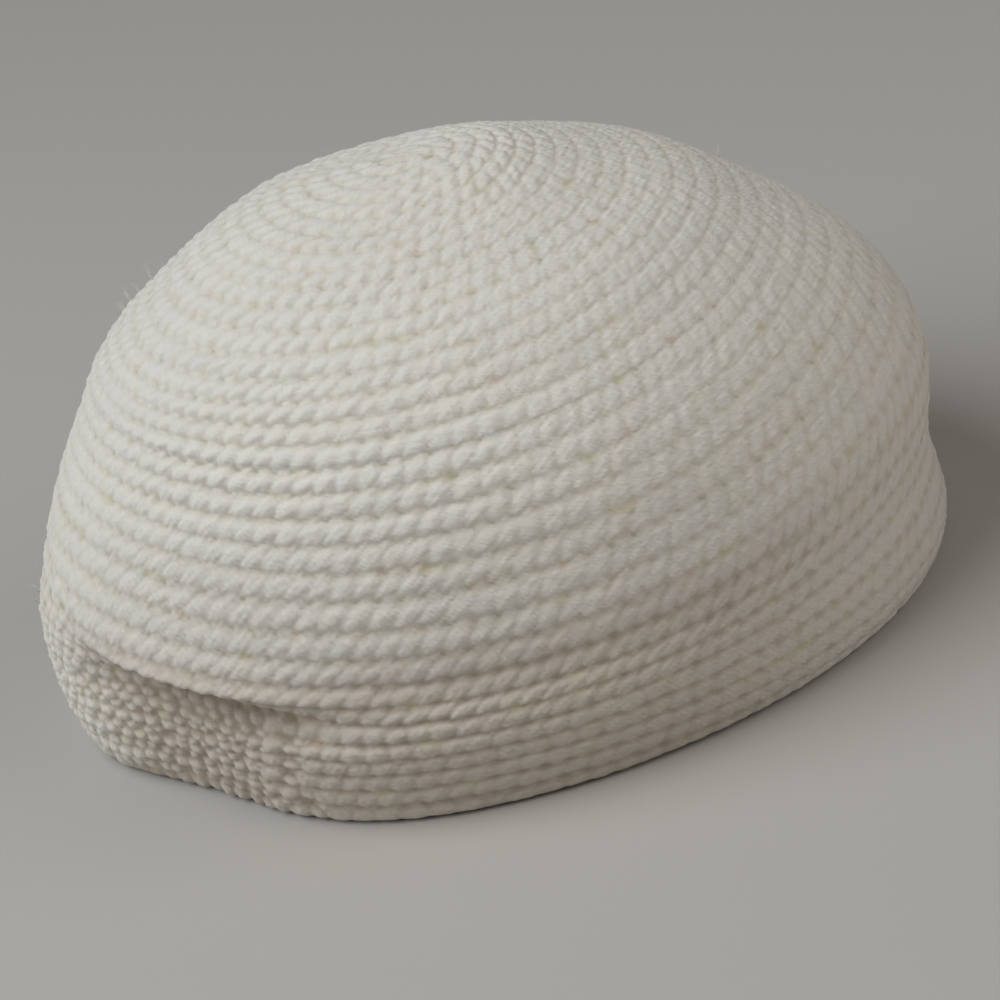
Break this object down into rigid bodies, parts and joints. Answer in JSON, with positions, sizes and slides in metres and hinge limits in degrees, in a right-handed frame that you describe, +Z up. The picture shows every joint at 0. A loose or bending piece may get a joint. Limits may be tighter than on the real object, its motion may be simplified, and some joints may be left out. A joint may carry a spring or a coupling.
{
  "type": "crocheted domed cap",
  "caption": "Brimless domed cap crocheted in one spiral of thick cream yarn, with a puffed crown over a tighter band that leans in to the open rim.",
  "frame": {"origin": "on the resting plane of the rim, under the middle of the cap's bounding box", "axes": "+X to the front of the cap, +Z up through the crown, square to the rim, +Y to the wearer's left"},
  "size_m": [0.223, 0.1873, 0.1254],
  "materials": {
    "yarn": "matt, soft cream yarn crocheted in rope-like rounds, lightly fuzzy"
  },
  "bodies": {
    "root": {"crochet_cap": "yarn"}
  },
  "joints": []
}
